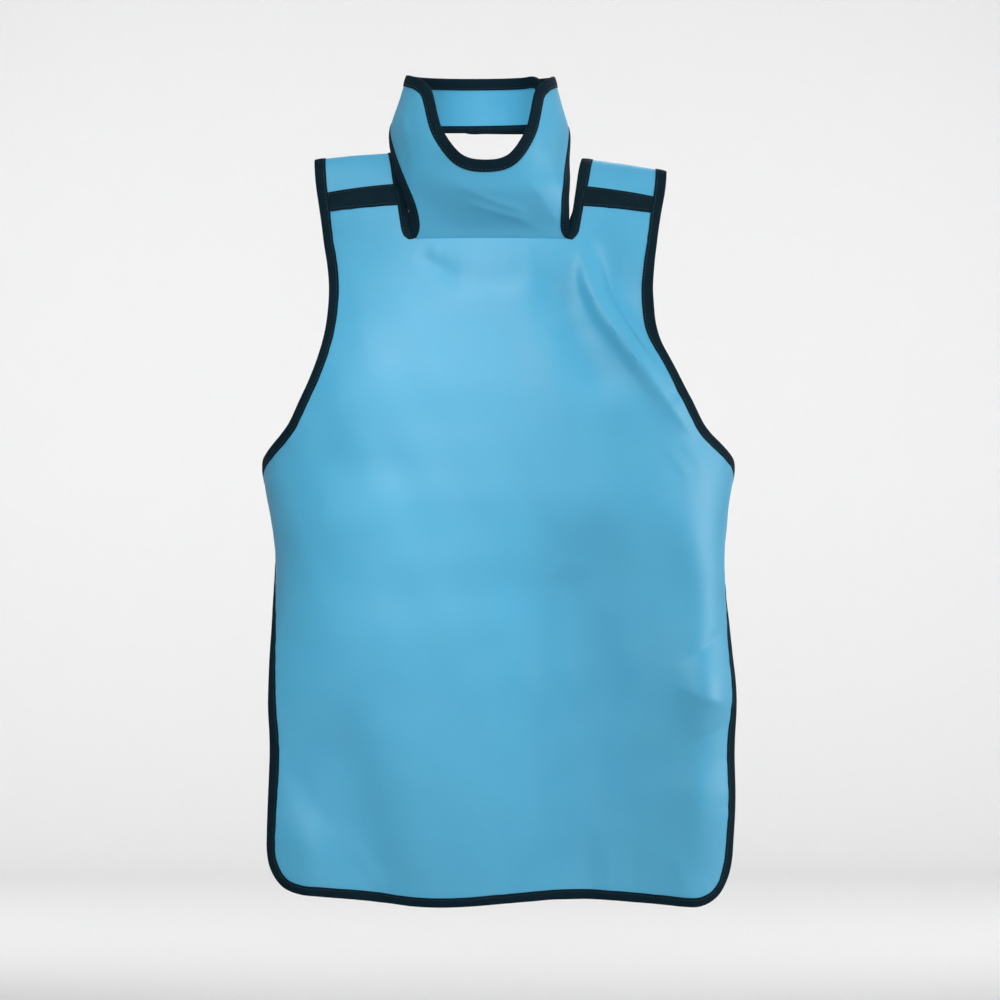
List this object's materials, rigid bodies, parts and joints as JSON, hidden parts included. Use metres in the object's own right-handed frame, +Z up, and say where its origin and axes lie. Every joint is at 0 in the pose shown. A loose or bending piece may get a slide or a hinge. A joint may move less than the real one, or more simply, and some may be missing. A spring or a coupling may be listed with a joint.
{
  "type": "lead x-ray vest",
  "caption": "Radiation-shielding bib apron in blue coated cloth with a stand-up neck collar, shoulder flaps and dark bound edges, in the form it has when worn.",
  "frame": {"origin": "midway between the two shoulder ridges, where the vest hangs on a wearer's shoulders", "axes": "+Z up, the wearer faces -Y, +X to the right as seen from the front"},
  "size_m": [0.4722, 0.2262, 0.825],
  "materials": {
    "lead_cloth": "coated woven nylon over lead-loaded vinyl, satin",
    "dark_tape": "ribbed woven binding tape, matt"
  },
  "bodies": {
    "root": {"front_panel": "lead_cloth", "collar": "lead_cloth", "collar_fastener": "dark_tape", "collar_binding": "dark_tape", "hem_binding": "dark_tape", "shoulder_flap_left": "lead_cloth", "shoulder_band_left": "dark_tape", "shoulder_binding_left": "dark_tape", "shoulder_flap_right": "lead_cloth", "shoulder_band_right": "dark_tape", "shoulder_binding_right": "dark_tape"}
  },
  "joints": []
}
